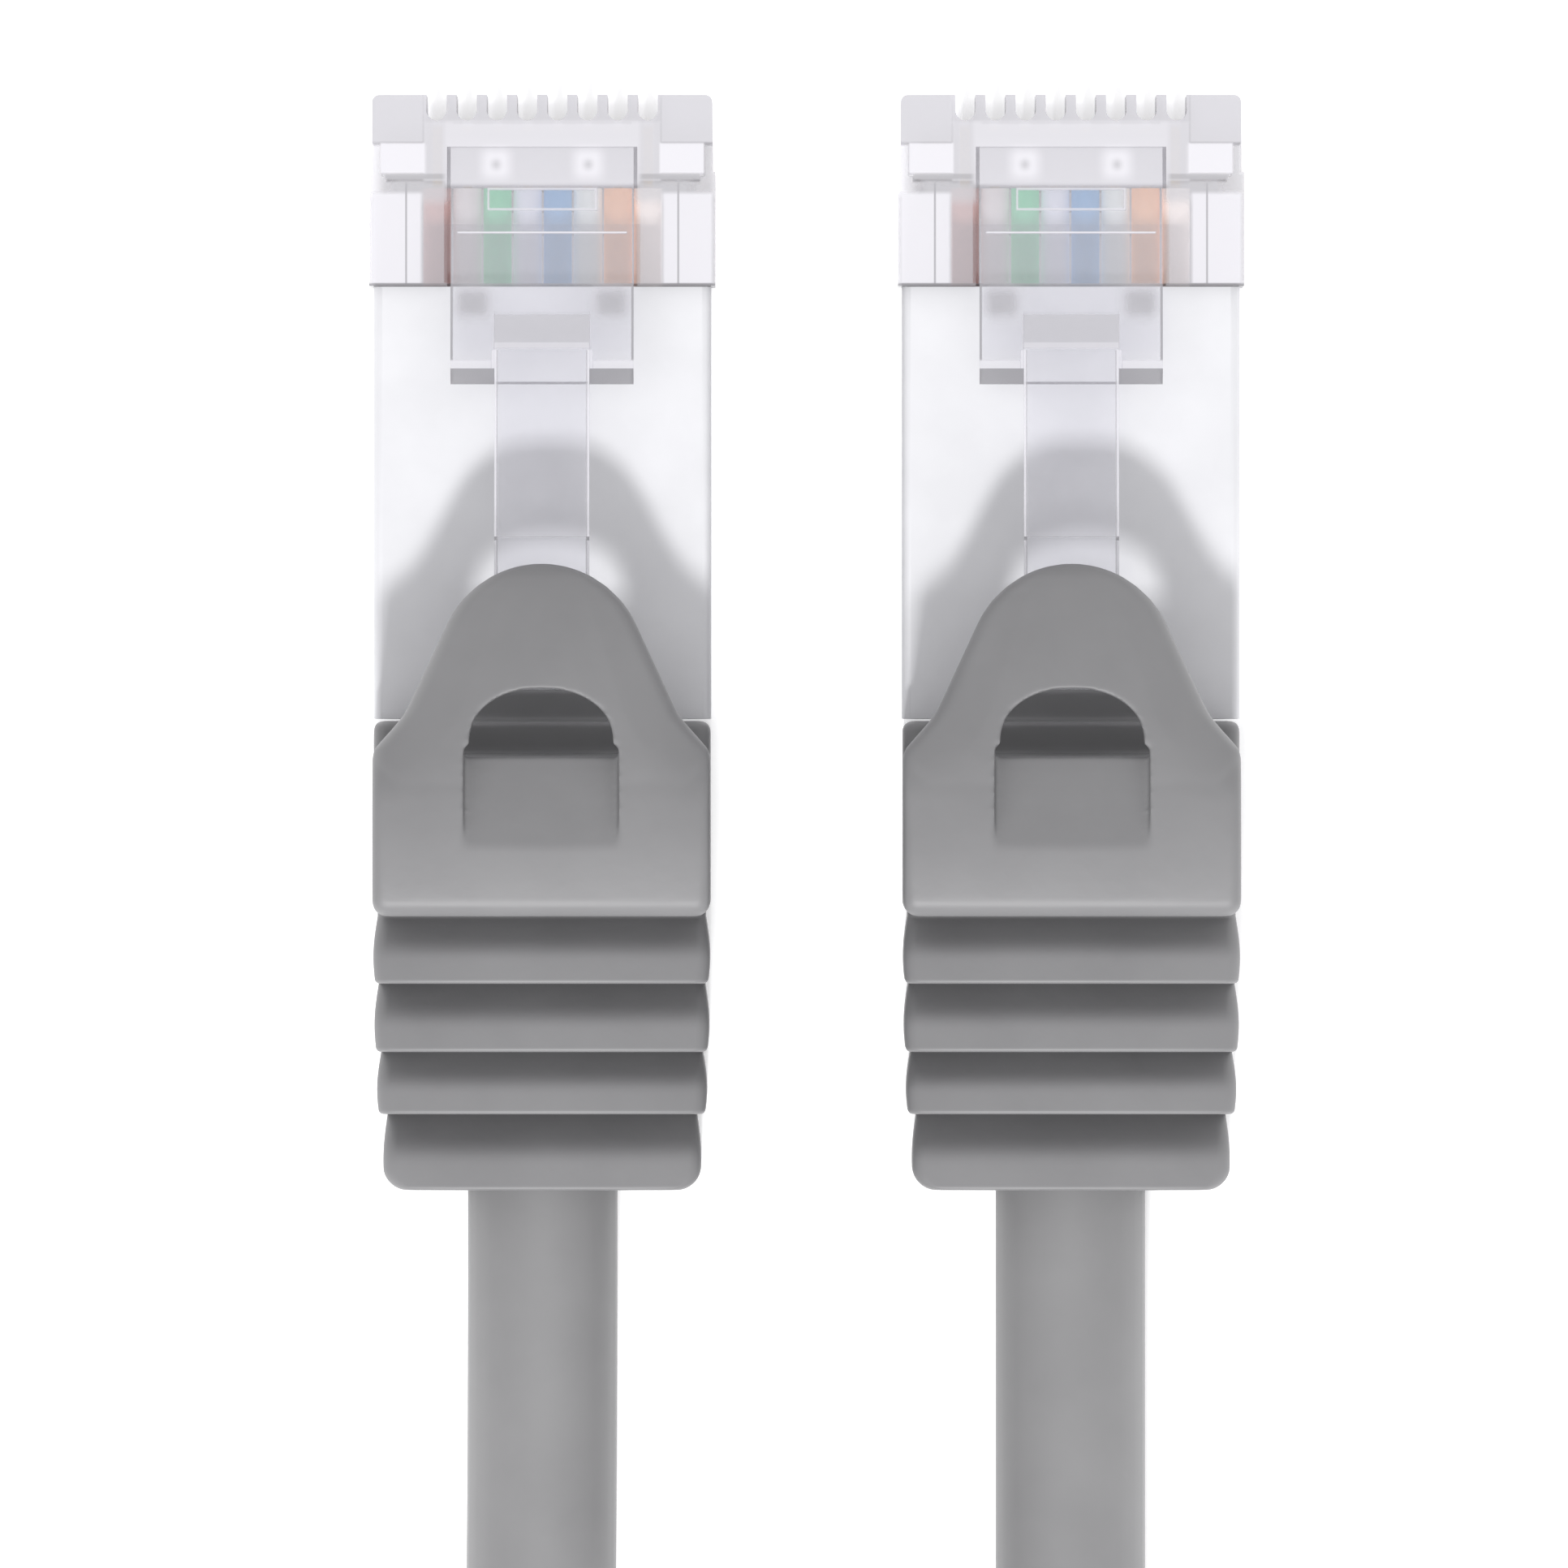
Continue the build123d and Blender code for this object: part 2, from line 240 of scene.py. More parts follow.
def plug_places(nodes, links):
    """Distance from the middle line of the nearer plug, depth behind its nose and height, in millimetres."""
    place = nodes.new("ShaderNodeTexCoord")
    scale = nodes.new("ShaderNodeVectorMath")
    scale.operation = "SCALE"
    scale.inputs["Scale"].default_value = 1 / MM
    parts = nodes.new("ShaderNodeSeparateXYZ")
    links.new(place.outputs["Object"], scale.inputs[0])
    links.new(scale.outputs["Vector"], parts.inputs["Vector"])
    from_middle = sums(nodes, links, "ABSOLUTE", parts.outputs["X"])
    from_axis = sums(nodes, links, "SUBTRACT", from_middle, plug_offset)
    across = sums(nodes, links, "ABSOLUTE", from_axis)
    depth = sums(nodes, links, "SUBTRACT", nose_y, parts.outputs["Y"])
    return place, across, depth, parts.outputs["Z"]


def sums(nodes, links, operation, first, second=None):
    """Arithmetic on two values, each a number or an output of another node."""
    node = nodes.new("ShaderNodeMath")
    node.operation = operation
    for socket, value in zip(node.inputs, (first, second)):
        if value is None:
            continue
        if isinstance(value, (int, float)):
            socket.default_value = value
        else:
            links.new(value, socket)
    return node.outputs["Value"]


def slope(nodes, links, value, start, end, first, last):
    """Smooth change from one number to another as a value runs from start to end."""
    node = nodes.new("ShaderNodeMapRange")
    node.interpolation_type = "SMOOTHSTEP"
    node.inputs["From Min"].default_value = start
    node.inputs["From Max"].default_value = end
    node.inputs["To Min"].default_value = first
    node.inputs["To Max"].default_value = last
    links.new(value, node.inputs["Value"])
    return node.outputs["Result"]


def patch(nodes, links, across, depth, sides, ends, soft):
    """1 inside a rectangle of the plug's top, 0 outside, with soft edges."""
    inner, outer = sides
    front, rear = ends
    mask = slope(nodes, links, across, outer - soft, outer + soft, 1, 0)
    if inner > 0:
        past_inner = slope(nodes, links, across, inner - soft, inner + soft, 0, 1)
        mask = sums(nodes, links, "MULTIPLY", mask, past_inner)
    past_front = slope(nodes, links, depth, front - soft, front + soft, 0, 1)
    before_rear = slope(nodes, links, depth, rear - soft, rear + soft, 1, 0)
    mask = sums(nodes, links, "MULTIPLY", mask, past_front)
    return sums(nodes, links, "MULTIPLY", mask, before_rear)


def towards(nodes, links, value, goal, mask):
    """Value moved to a goal where the mask is 1."""
    gap = sums(nodes, links, "SUBTRACT", goal, value)
    return sums(nodes, links, "ADD", value, sums(nodes, links, "MULTIPLY", gap, mask))


def glowing_insulation(name, dark, light):
    """Wire insulation that glows faintly in its pale tone: painted light for the light that the clear plug
    scatters onto it from all sides.
    """
    material = moulded_plastic(name, dark, light, 0.4, 1500, 0.05)
    shader = material.node_tree.nodes["Principled BSDF"]
    # Painted light: the insulation glows in its own pale tone
    shader.inputs["Emission Color"].default_value = (*light, 1)
    shader.inputs["Emission Strength"].default_value = 0.35
    return material


def edge_shade_mask(nodes, links, place, across, depth):
    """1 on rounded edges, whose faces are neither level nor upright, where painted shade darkens the
    plastic.
    """
    normal = nodes.new("ShaderNodeSeparateXYZ")
    links.new(place.outputs["Normal"], normal.inputs["Vector"])
    upright = sums(nodes, links, "ABSOLUTE", normal.outputs["Z"])
    turned = slope(nodes, links, upright, 0.66, 0.80, 1, 0)
    turned = sums(nodes, links, "MULTIPLY", turned, slope(nodes, links, upright, 0.05, 0.25, 0, 1))
    # The narrow gap beside the root of the latch and the low step of the lever stay pale
    gap = patch(nodes, links, across, depth, (3.0, 3.3), (1.5, 6.4), 0.03)
    step = patch(nodes, links, across, depth, (0, 1.5), (14.9, 15.4), 0.03)
    pale = sums(nodes, links, "MAXIMUM", gap, step)
    return sums(nodes, links, "MULTIPLY", turned, sums(nodes, links, "SUBTRACT", 1.0, pale))


def inside_mask(nodes, links, across, depth, height):
    """1 in the middle of the plug, between its floor and its top wall."""
    inside = patch(nodes, links, across, depth, (0, 5.3), (1.0, 30), 0.1)
    inside = sums(nodes, links, "MULTIPLY", inside, slope(nodes, links, height, 5.45, 5.75, 1, 0))
    return sums(nodes, links, "MULTIPLY", inside, slope(nodes, links, height, 0.5, 0.9, 0, 1))


def clear_plastic(name, tone, haze, patches):
    """Clear polycarbonate: see-through, milky where it is thick, with painted shade along its rounded edges
    and painted shade or highlight in some patches.
    Each patch gives its sides, its ends, its softness, its tone and its haze."""
    material, nodes, links, shader = new_material(name)
    place, across, depth, height = plug_places(nodes, links)
    noise = nodes.new("ShaderNodeTexNoise")
    noise.inputs["Scale"].default_value = 900
    noise.inputs["Detail"].default_value = 4
    links.new(place.outputs["Object"], noise.inputs["Vector"])
    tone_wander = 0.04
    haze_wander = 0.1
    wander = sums(nodes, links, "SUBTRACT", noise.outputs["Fac"], 0.5)
    shade = sums(nodes, links, "ADD", tone, sums(nodes, links, "MULTIPLY", wander, tone_wander))
    cover = sums(nodes, links, "ADD", haze, sums(nodes, links, "MULTIPLY", wander, haze_wander))
    for sides, ends, soft, patch_tone, patch_haze in patches:
        mask = patch(nodes, links, across, depth, sides, ends, soft)
        shade = towards(nodes, links, shade, patch_tone, mask)
        cover = towards(nodes, links, cover, patch_haze, mask)
    # Painted shade: rounded edges are drawn as darker lines
    turned = edge_shade_mask(nodes, links, place, across, depth)
    edge_shade_tone = 0.20
    edge_haze = 0.80
    shade = towards(nodes, links, shade, edge_shade_tone, turned)
    cover = towards(nodes, links, cover, edge_haze, turned)
    # Walls of the wire channels and of the pocket inside the plug hardly show
    inside_haze = 0.02
    inside = inside_mask(nodes, links, across, depth, height)
    cover = towards(nodes, links, cover, inside_haze, inside)
    tint = nodes.new("ShaderNodeVectorMath")
    tint.operation = "SCALE"
    tint.inputs[0].default_value = (1.0, 0.985, 1.035)
    links.new(shade, tint.inputs["Scale"])
    links.new(tint.outputs["Vector"], shader.inputs["Base Color"])
    shader.inputs["Roughness"].default_value = 0.22
    grain(nodes, links, shader, place, 700, 0.10, 0.00002)
    # Light passes through the haze, which casts no shadow
    clear = nodes.new("ShaderNodeBsdfTransparent")
    clear.inputs["Color"].default_value = (0.97, 0.97, 0.98, 1)
    path = nodes.new("ShaderNodeLightPath")
    lit = sums(nodes, links, "SUBTRACT", 1.0, path.outputs["Is Shadow Ray"])
    mix = nodes.new("ShaderNodeMixShader")
    links.new(sums(nodes, links, "MULTIPLY", cover, lit), mix.inputs["Fac"])
    links.new(clear.outputs["BSDF"], mix.inputs[1])
    links.new(shader.outputs["BSDF"], mix.inputs[2])
    links.new(mix.outputs["Shader"], nodes["Material Output"].inputs["Surface"])
    return material


# Regions of the plug, seen from the latch side, several with painted shade or highlight in their tone:
# sides, ends, softness, tone, haze
wire_room = ((0, 4.1), (3.1, 6.5), 0.12, 0.52, 0.50)
latch_pad = ((0, 3.3), (0.9, 6.5), 0.03, 0.52, 0.20)
comb = ((0, 4.0), (-1, 0.95), 0.05, 0.50, 0.80)
side_block = ((4.0, 6.5), (-1, 1.6), 0.06, 0.49, 0.90)
side_slot = ((3.0, 4.0), (0.9, 2.9), 0.06, 0.50, 0.90)
side_window = ((3.95, 5.45), (1.62, 2.64), 0.05, 0.60, 0.95)
# Painted shade: a dark line where a ledge steps down at the side
side_ledge_shade = ((3.15, 5.3), (2.66, 2.84), 0.04, 0.36, 0.92)
# Painted shade: a soft darker patch behind the ledge
side_shade = ((3.15, 5.0), (2.9, 3.6), 0.25, 0.43, 0.85)
side_wall = ((4.05, 5.75), (3.3, 6.5), 0.10, 0.60, 0.93)
# Painted shade: a thin dark line along the side wall
wall_shade_line = ((4.55, 4.61), (2.9, 6.5), 0.025, 0.33, 0.90)
pad_root = ((0, 3.3), (0.9, 3.05), 0.12, 0.53, 0.95)
# Painted highlight and painted shade of two small round bumps at the root of the latch
pad_bump_highlight = ((1.1, 2.0), (1.85, 2.8), 0.30, 0.64, 0.97)
pad_bump_shade = ((1.42, 1.68), (2.2, 2.5), 0.18, 0.44, 0.97)
pad_box = ((0, 1.84), (3.13, 3.88), 0.03, 0.60, 0.55)
pad_box_middle = ((0, 1.78), (3.20, 3.82), 0.03, 0.53, 0.20)
pad_line = ((0, 2.85), (4.61, 4.66), 0.02, 0.62, 0.75)
# Painted shade: a dark line where the clear body steps over the front edge of the shield
shield_shade_line = ((0, 6.5), (6.34, 6.6), 0.03, 0.22, 0.80)
pad_details = [pad_bump_highlight, pad_bump_shade, pad_box, pad_box_middle, pad_line]
plug_regions = [wire_room, latch_pad, comb, side_block, side_slot, side_shade, side_window, side_ledge_shade,
                side_wall, wall_shade_line, pad_root, *pad_details, shield_shade_line]

# Regions of the latch lever, several with painted shade or highlight in their tone
lever_root = ((0, 3.3), (-1, 3.05), 0.12, 0.56, 0.80)
# Painted shade on the top corners of the latch plate
plate_shade = ((1.75, 2.9), (6.5, 7.5), 0.35, 0.36, 0.55)
# Painted highlight: the bevelled rear edge of the shoulders catching the key light
shoulder_highlight = ((1.7, 3.3), (8.95, 9.25), 0.05, 0.62, 0.60)
# Painted shade: the ramp of the lever faces away from the key light
lever_ramp_shade = ((0, 1.62), (7.4, 8.56), 0.05, 0.52, 0.62)
lever_over_wires = ((0, 3.3), (3.05, 6.45), 0.05, 0.53, 0.24)
# Painted shade lines along the sides of the plate and the lever, with a painted highlight beside the lever's
plate_edge_shade = ((3.0, 3.3), (6.45, 9.7), 0.02, 0.30, 0.75)
lever_edge_shade = ((1.48, 1.53), (8.6, 20), 0.02, 0.40, 0.45)
lever_rim_highlight = ((1.53, 1.7), (8.6, 20), 0.02, 0.66, 0.50)
lever_regions = [lever_over_wires, lever_root, *pad_details, plate_shade, plate_edge_shade, shoulder_highlight,
                 lever_ramp_shade, lever_edge_shade, lever_rim_highlight]


def satin_nickel():
    """Nickel-plated sheet with a soft satin face."""
    material, nodes, links, shader = new_material("satin_nickel")
    place, noise = mottle(nodes, links, shader, (0.600, 0.600, 0.618), (0.640, 0.640, 0.658), 300)
    shader.inputs["Metallic"].default_value = 0.28
    roughness_wander(nodes, links, shader, noise, 0.60, 0.70)
    grain(nodes, links, shader, place, 2400, 0.12, 0.00002)
    return material


def plated_metal(name, dark, light, rough):
    """Bare or plated metal with a fine grain."""
    material, nodes, links, shader = new_material(name)
    place, noise = mottle(nodes, links, shader, dark, light, 500)
    shader.inputs["Metallic"].default_value = 1.0
    roughness_wander(nodes, links, shader, noise, rough - 0.06, rough + 0.06)
    grain(nodes, links, shader, place, 3000, 0.05, 0.00001)
    return material


def woven_strap():
    """Black woven strap with crossing threads."""
    material, nodes, links, shader = new_material("woven_strap")
    place, noise = mottle(nodes, links, shader, (0.012, 0.012, 0.014), (0.035, 0.035, 0.038), 900)
    threads = nodes.new("ShaderNodeTexWave")
    threads.inputs["Scale"].default_value = 700
    threads.inputs["Distortion"].default_value = 1.5
    bump = nodes.new("ShaderNodeBump")
    bump.inputs["Strength"].default_value = 0.6
    bump.inputs["Distance"].default_value = 0.0001
    links.new(place.outputs["Object"], threads.inputs["Vector"])
    links.new(threads.outputs["Fac"], bump.inputs["Height"])
    links.new(bump.outputs["Normal"], shader.inputs["Normal"])
    shader.inputs["Roughness"].default_value = 0.85
    shader.inputs["Sheen Weight"].default_value = 0.3
    return material


def floor_material():
    """White table with a little light behind it."""
    material, nodes, links, shader = new_material("studio_floor")
    mottle(nodes, links, shader, (0.93, 0.93, 0.93), (0.95, 0.95, 0.95), 20)
    shader.inputs["Roughness"].default_value = 0.9
    shader.inputs["Emission Color"].default_value = (1, 1, 1, 1)
    shader.inputs["Emission Strength"].default_value = 0.35
    return material


# ---------------------------------------------------------------- meshes

def shade_smooth(mesh):
    """Smooth shading on every face."""
    for polygon in mesh.polygons:
        polygon.use_smooth = True


def section_ring(depth, low, high, width, radius, x):
    """Points round a rounded rectangle that stands across the plug at a depth."""
    half_width = width / 2
    half_height = (high - low) / 2
    # The corners never quite meet, so no two points fall together
    radius = min(radius, 0.98 * half_width, 0.98 * half_height)
    middle = (low + high) / 2
    corner_steps = 10
    side_steps = 6
    corners = []
    for quarter, (across, upward) in enumerate(((1, 1), (-1, 1), (-1, -1), (1, -1))):
        turns = [radians(90 * quarter + 90 * step / corner_steps) for step in range(corner_steps + 1)]
        centre_x = across * (half_width - radius)
        centre_z = upward * (half_height - radius)
        corners.append([(centre_x + radius * cos(turn), centre_z + radius * sin(turn)) for turn in turns])
    ring = []
    for corner, following in zip(corners, corners[1:] + corners[:1]):
        ring += corner
        from_x, from_z = corner[-1]
        to_x, to_z = following[0]
        for step in range(1, side_steps):
            share = step / side_steps
            ring.append((from_x + (to_x - from_x) * share, from_z + (to_z - from_z) * share))
    return [Vector((x + px, nose_y - depth, middle + pz)) * MM for px, pz in ring]


def loft(name, rings):
    """Closed skin through rings of equally many points, with a cap at both ends."""
    shape = bmesh.new()
    rows = [[shape.verts.new(point) for point in ring] for ring in rings]
    count = len(rows[0])
    for before, after in zip(rows, rows[1:]):
        for index in range(count):
            following = (index + 1) % count
            shape.faces.new((before[index], before[following], after[following], after[index]))
    shape.faces.new(rows[0][::-1])
    shape.faces.new(rows[-1])
    bmesh.ops.recalc_face_normals(shape, faces=shape.faces)
    mesh = bpy.data.meshes.new(name)
    shape.to_mesh(mesh)
    shape.free()
    return mesh


def baked(piece_mesh, name, modifiers):
    """Mesh with modifiers applied. Each modifier is (type, {setting: value})."""
    helper = bpy.data.objects.new(name + "_helper", piece_mesh)
    bpy.context.collection.objects.link(helper)
    for kind, settings in modifiers:
        modifier = helper.modifiers.new(kind, kind)
        for key, value in settings.items():
            setattr(modifier, key, value)
    graph = bpy.context.evaluated_depsgraph_get()
    result = bpy.data.meshes.new_from_object(helper.evaluated_get(graph))
    bpy.data.objects.remove(helper)
    result.name = name
    return result


# ---------------------------------------------------------------- boot and hood
# Depths are distances behind the nose of the plug

boot_front = 21.08
shoulder_height = 8.4
hump_start = 22.3
hump_top_depth = 25.2
hump_end = 27.64
hump_height = 13.95
hood_tip = 15.8
hood_tip_radius = 3.5
hood_tip_height = 11.45
hood_rise = 2.3
hood_thickness = 0.9
hood_rim = 0.6
hood_root = hump_start + 1.0
hood_flare = radians(25)
window_front = 19.98
window_rear = 22.16
window_half = 2.41
window_arch = 1.55
window_floor = 8.6
recess_half = 2.6
recess_side = [(21.9, 12.5), (22.8, 12.9), (24.0, 13.38), (25.5, 14.02), (25.5, 17), (21.9, 17)]
lip_front = 20.02
lip_low = shield_high.z + 0.07
lip_top = 7.25
lip_width = 5.8
# Depth of its ridge, height and width of each rib
rib_ends = [(29.9, 12.0, 11.3), (32.2, 10.6, 11.25), (34.3, 9.3, 11.1), (boot_end, 8.0, 10.7)]


def hood_half_width(depth):
    """Half width of the hood, seen from above. Its sides sweep out into the boot at the root."""
    centre = hood_tip + hood_tip_radius
    side_depth = centre - hood_tip_radius * sin(hood_flare)
    if depth < side_depth:
        return max(0.05, (hood_tip_radius ** 2 - (centre - depth) ** 2) ** 0.5)
    flared = hood_tip_radius * cos(hood_flare) + (depth - side_depth) * tan(hood_flare)
    swept = 0.55 * ease(20.6, 22.5, depth)
    return min(boot_width / 2 - 0.02 - 0.4 * ease(22.4, 23.2, depth), flared + swept)


def shape_of(name, build):
    """Mesh made by a function that fills a bmesh."""
    shape = bmesh.new()
    build(shape)
    bmesh.ops.recalc_face_normals(shape, faces=shape.faces)
    mesh = bpy.data.meshes.new(name)
    shape.to_mesh(mesh)
    shape.free()
    return mesh


def helper_object(name, mesh):
    """Object that only shapes another piece and is then removed."""
    piece = bpy.data.objects.new(name, mesh)
    bpy.context.collection.objects.link(piece)
    return piece


def window_cutter(x):
    """Opening behind the tip of the hood. Its front is an arch, rounder at the sides than an ellipse."""
    steps = 36
    above = 18
    side_power = 2.2
    top_power = 0.57
    outline = [(x + window_half, nose_y - window_rear), (x - window_half, nose_y - window_rear)]
    for step in range(steps + 1):
        across = -window_half + 2 * window_half * step / steps
        rise = (1 - abs(across / window_half) ** side_power) ** top_power
        outline.append((x + across, nose_y - window_front - window_arch * (1 - rise)))

    def build(shape):
        bottom = [shape.verts.new(Vector((px, py, window_floor)) * MM) for px, py in outline[::-1]]
        lifted = bmesh.ops.extrude_face_region(shape, geom=[shape.faces.new(bottom)])
        for item in lifted["geom"]:
            if isinstance(item, bmesh.types.BMVert):
                item.co.z = above * MM

    return helper_object("window_cutter", shape_of("window_cutter", build))


def recess_cutter(x):
    """Hollow that fades out behind the window."""
    def row(shape, across):
        points = [Vector((x + across, nose_y - depth, height)) * MM for depth, height in recess_side]
        return [shape.verts.new(point) for point in points]

    def build(shape):
        left = row(shape, -recess_half)
        right = row(shape, recess_half)
        shape.faces.new(left)
        shape.faces.new(right[::-1])
        for index in range(len(left)):
            following = (index + 1) % len(left)
            shape.faces.new((left[index], right[index], right[following], left[following]))

    return helper_object("recess_cutter", shape_of("recess_cutter", build))


def boot_rings(x):
    """Rings of the body of the boot and of the hump that carries the hood."""
    rings = []
    hump_curve = 0.05
    rear_round = 0.5

    def add(depth, low, high, width, radius, drop=0.0):
        ring = section_ring(depth, low, high, width, radius, x)
        rings.append(arched(ring, x, low, high, drop))

    # Lower body in front of the hump, with a rounded front edge
    for behind, inset in ((0, 0.30), (0.04, 0.15), (0.12, 0.05), (0.27, 0.0), (1.12, 0.0)):
        add(boot_front + behind, inset, shoulder_height - inset, boot_width - 2 * inset, 0.5)
    depths = [hump_start + 0.2 * step for step in range(24)]
    depths += [27.05, 27.2, 27.32, 27.42, 27.5, 27.57, 27.62, hump_end]
    for depth in depths:
        rear = rounded_end(depth, hump_end, rear_round)
        high = hump_height - hump_curve * (depth - hump_top_depth) ** 2 - rear
        add(depth, 0, high, boot_width - 2 * rear, 0.35, hump_drop(depth))
    return rings


def rib_rings(x):
    """Saw-tooth ribs: each one rises steeply behind the ridge before it and flattens towards its own."""
    rings = []
    side_groove = 0.14
    foot_rise = 0.4
    top_arch = 0.5
    hidden_start = 0.6
    start = hump_end
    # The last shares lie close together round the edge of the ridge
    shares = [step / 24 for step in range(23)] + [0.94, 0.955, 0.97, 0.98, 0.988, 0.994, 0.998, 1.0]
    for end, height, width in rib_ends:
        length = end - start
        corner = 0.75 if end == boot_end else 0.15
        for share in shares:
            depth = start + length * share
            narrow = side_groove * (1 - sin(radians(150 * share))) + rounded_end(depth, end, corner)
            foot = foot_rise * (1 - share) ** 2
            high = height - rib_hollow(share, length) - rounded_end(depth, end, 0.13)
            ring = section_ring(depth, foot, high, width - 2 * narrow, 0.45, x)
            rings.append(arched(ring, x, foot, high, top_arch))
        start = end
    # The first rib starts inside the hump
    inner = [Vector((point[0], point[1] + hidden_start * MM, point[2])) for point in rings[0]]
    return [inner] + rings


def rounded_end(depth, end, radius):
    """How far a surface has turned in where it is rounded off towards its end."""
    reach = max(0.0, depth - (end - radius))
    return radius - max(0.0, radius ** 2 - reach ** 2) ** 0.5


def rib_hollow(share, length):
    """How far the top of a rib lies below its ridge: a steep front, then nearly flat."""
    steps = 20
    steep = 0.9
    gentle = 0.08
    hollow = 0.0
    for step in range(steps):
        place = share + (1 - share) * (step + 0.5) / steps
        hollow += (steep - (steep - gentle) * ease(0.30, 0.68, place)) * (1 - share) * length / steps
    return hollow


def hump_drop(depth):
    """How much lower the top of hood and hump is at the sides than in the middle."""
    at_tip = 2.9
    at_rear = 0.1
    return at_tip - (at_tip - at_rear) * ease(18.5, 23.8, depth)


def arched(ring, x, low, high, drop):
    """Ring whose top is arched: its sides lie lower than its middle."""
    power = 2.6
    middle = (low + high) / 2
    bent = []
    for point in ring:
        across = abs(point[0] / MM - x) / (boot_width / 2)
        lift = max(0.0, (point[2] / MM - middle) / (high - middle))
        bent.append(Vector((point[0], point[1], point[2] - drop * MM * across ** power * lift)))
    return bent


def hood_rings(x):
    """Rings from the round tip of the hood back to its root inside the boot."""
    rings = []
    steps = 40
    rise_power = 1.7
    thinnest = 0.12
    near = [hood_tip + 2 * hood_rim * share ** 2 for share in (0.02, 0.1, 0.2, 0.32, 0.45, 0.6, 0.8, 1.0)]
    far = [near[-1] + (hood_root - near[-1]) * step / steps for step in range(1, steps + 1)]
    for depth in near + far:
        share = (depth - hood_tip) / (hood_root - hood_tip)
        middle = hood_tip_height + hood_rise * (1 - (1 - share) ** rise_power) - hood_thickness / 2
        # The rim is rounded from its full thickness down to a thin edge at the tip
        reach = min(1.0, (depth - hood_tip) / hood_rim)
        half = hood_thickness / 2 * max(thinnest, (1 - (1 - reach) ** 2) ** 0.5)
        ring = section_ring(depth, middle - half, middle + half, 2 * hood_half_width(depth), 0.5, x)
        # The whole thickness of the hood follows the arch
        rings.append(arched(ring, x, -100, middle, hump_drop(depth)))
    return rings


def lip_form(x):
    """Lip of the boot that lies on the shield under the window."""
    rings = []
    for behind, inset in ((0, 0.15), (0.04, 0.05), (0.13, 0.0), (1.58, 0.0)):
        width = lip_width - 2 * inset
        rings.append(section_ring(lip_front + behind, lip_low + inset, lip_top - inset, width, 0.2, x))
    return helper_object("lip_form", loft("lip_form", rings))


def merged(first, second):
    """First mesh with the second one added to it."""
    joined = bmesh.new()
    joined.from_mesh(first)
    joined.from_mesh(second)
    joined.to_mesh(first)
    joined.free()
    bpy.data.meshes.remove(second)
    return first


def make_boot(suffix, material):
    """Boot and hood as one soft moulding, the hood joining the boot at its root."""
    x = end_x[suffix]
    hood = helper_object("hood_form", loft("hood_form", hood_rings(x)))
    window = window_cutter(x)
    recess = recess_cutter(x)
    lip = lip_form(x)
    name = "boot_skin_" + suffix
    mesh = baked(loft(name, boot_rings(x)), name,
                 [("BOOLEAN", {"operation": "UNION", "object": hood, "solver": "EXACT"}),
                  ("BOOLEAN", {"operation": "DIFFERENCE", "object": window, "solver": "EXACT"}),
                  ("BOOLEAN", {"operation": "DIFFERENCE", "object": recess, "solver": "EXACT"}),
                  ("BOOLEAN", {"operation": "UNION", "object": lip, "solver": "EXACT"}),
                  ("REMESH", {"mode": "VOXEL", "voxel_size": 0.09 * MM, "adaptivity": 0.0}),
                  ("SMOOTH", {"factor": 0.5, "iterations": 7})])
    for helper in (hood, window, recess, lip):
        bpy.data.objects.remove(helper)
    mesh = merged(mesh, loft("boot_ribs", rib_rings(x)))
    shade_smooth(mesh)
    mesh.set_sharp_from_angle(angle=radians(45))
    mesh.materials.append(material)
    boot = bpy.data.objects.new(name, mesh)
    bpy.context.collection.objects.link(boot)
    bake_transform(boot)
    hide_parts("boot_" + suffix, "boot_hood_" + suffix)


# ---------------------------------------------------------------- CAD nodes that keep their shape

def finish_node(name, material, edge=0.0):
    """Gives a CAD node a material and, where edge isn't 0, softly rounded edges in millimetres."""
    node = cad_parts[name]
    node.data.materials.clear()
    node.data.materials.append(material)
    if edge:
        weld = node.modifiers.new("weld", "WELD")
        weld.merge_threshold = 0.002 * MM
        bevel = node.modifiers.new("bevel", "BEVEL")
        bevel.width = edge * MM
        bevel.segments = 3
        bevel.limit_method = "ANGLE"
        bevel.angle_limit = radians(35)


# ---------------------------------------------------------------- studio

def make_floor(material):
    """Level floor under everything, far wider than the view."""
    shape = bmesh.new()
    bmesh.ops.create_grid(shape, x_segments=4, y_segments=4, size=2)
    mesh = bpy.data.meshes.new("studio_floor")
    shape.to_mesh(mesh)
    shape.free()
    mesh.materials.append(material)
    floor = bpy.data.objects.new("studio_floor", mesh)
    bpy.context.collection.objects.link(floor)


def area_light(name, place, size, power):
    """Square light at a place in millimetres that shines at the middle of the plugs."""
    light = bpy.data.lights.new(name, "AREA")
    light.size = size * MM
    light.energy = power
    lamp = bpy.data.objects.new(name, light)
    lamp.location = Vector(place) * MM
    target = Vector((0, 0, 6)) * MM
    lamp.rotation_euler = (target - lamp.location).to_track_quat("-Z", "Y").to_euler()
    bpy.context.collection.objects.link(lamp)


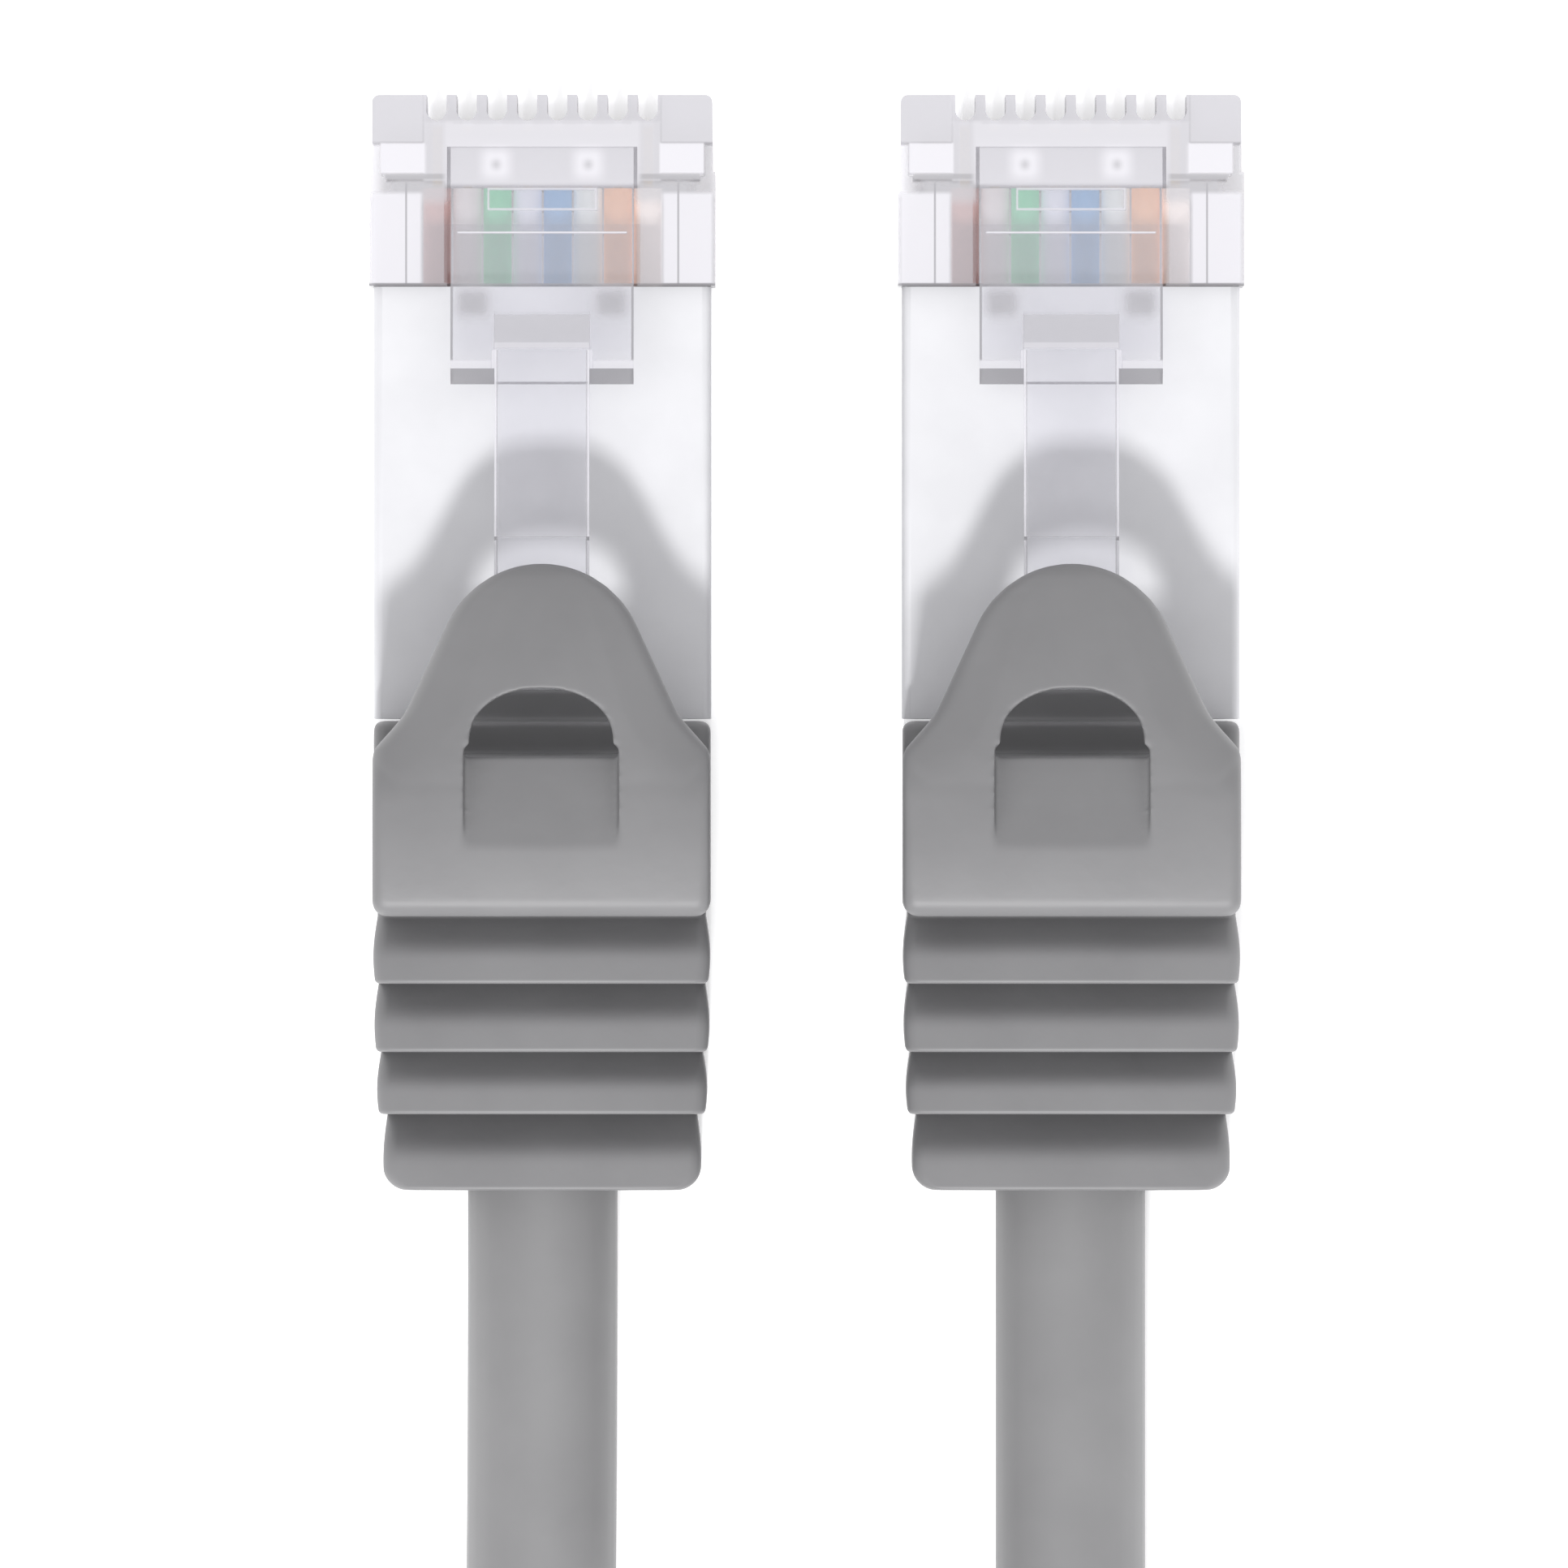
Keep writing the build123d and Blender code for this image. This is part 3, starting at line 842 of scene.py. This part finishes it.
def make_studio():
    """White surroundings, one key light and the floor."""
    world = bpy.data.worlds.new("soft_white")
    world.use_nodes = True
    sky = world.node_tree.nodes["Background"]
    sky.inputs["Color"].default_value = (1.0, 1.0, 1.01, 1)
    sky.inputs["Strength"].default_value = 1.0
    bpy.context.scene.world = world
    # Small light high behind the cables, so that each hood throws its shadow forward on the shield
    area_light("key", (-25, -365, 437), 56, 2.60)
    make_floor(floor_material())
    # Many clear walls lie behind each other in a plug
    bpy.context.scene.cycles.transparent_max_bounces = 40
    bpy.context.scene.view_settings.view_transform = "Standard"


# ---------------------------------------------------------------- assembly

make_camera()
jacket = moulded_plastic("grey_jacket", (0.178, 0.177, 0.180), (0.194, 0.193, 0.196), 0.48, 1500, 0.10)
make_cable(jacket)

boot_grey = moulded_plastic("boot_grey", (0.165, 0.164, 0.168), (0.180, 0.179, 0.183), 0.50, 1900, 0.25)
clear = clear_plastic("clear_polycarbonate", 0.52, 0.30, plug_regions)
clear_lever = clear_plastic("clear_lever", 0.58, 0.10, lever_regions)
nickel = satin_nickel()
gold = plated_metal("contact_gold", (0.80, 0.56, 0.22), (0.90, 0.68, 0.32), 0.25)
copper = plated_metal("bare_copper", (0.72, 0.36, 0.20), (0.82, 0.45, 0.28), 0.3)
tin = plated_metal("tinned_braid", (0.60, 0.60, 0.60), (0.75, 0.75, 0.75), 0.4)
strap = woven_strap()
insulation = {
    "brown": glowing_insulation("insulation_brown", (0.34, 0.17, 0.15), (0.40, 0.21, 0.18)),
    "white_brown": glowing_insulation("insulation_white_brown", (0.62, 0.57, 0.54), (0.70, 0.65, 0.62)),
    "green": glowing_insulation("insulation_green", (0.10, 0.50, 0.24), (0.14, 0.58, 0.30)),
    "white_blue": glowing_insulation("insulation_white_blue", (0.62, 0.64, 0.70), (0.70, 0.72, 0.78)),
    "blue": glowing_insulation("insulation_blue", (0.10, 0.28, 0.50), (0.15, 0.36, 0.60)),
    "white_green": glowing_insulation("insulation_white_green", (0.64, 0.68, 0.64), (0.72, 0.75, 0.72)),
    "orange": glowing_insulation("insulation_orange", (0.78, 0.36, 0.16), (0.84, 0.44, 0.22)),
    "white_orange": glowing_insulation("insulation_white_orange", (0.76, 0.66, 0.60), (0.82, 0.72, 0.66)),
}

for suffix in end_x:
    make_boot(suffix, boot_grey)
    finish_node("plug_housing_" + suffix, clear, 0.08)
    finish_node("latch_lever_" + suffix, clear_lever, 0.12)
    finish_node("load_bar_" + suffix, clear, 0.05)
    finish_node("shield_shell_" + suffix, nickel, 0.1)
    finish_node("contact_blades_" + suffix, gold)
    finish_node("crimp_collar_" + suffix, nickel)
    finish_node("braid_sleeve_" + suffix, tin)
    finish_node("jacket_end_" + suffix, jacket)
    finish_node("wire_cores_" + suffix, copper)
    for colour, material in insulation.items():
        finish_node("wire_" + colour + "_" + suffix, material)
for side in ("left", "right"):
    finish_node("tie_" + side, strap, 0.2)

make_studio()
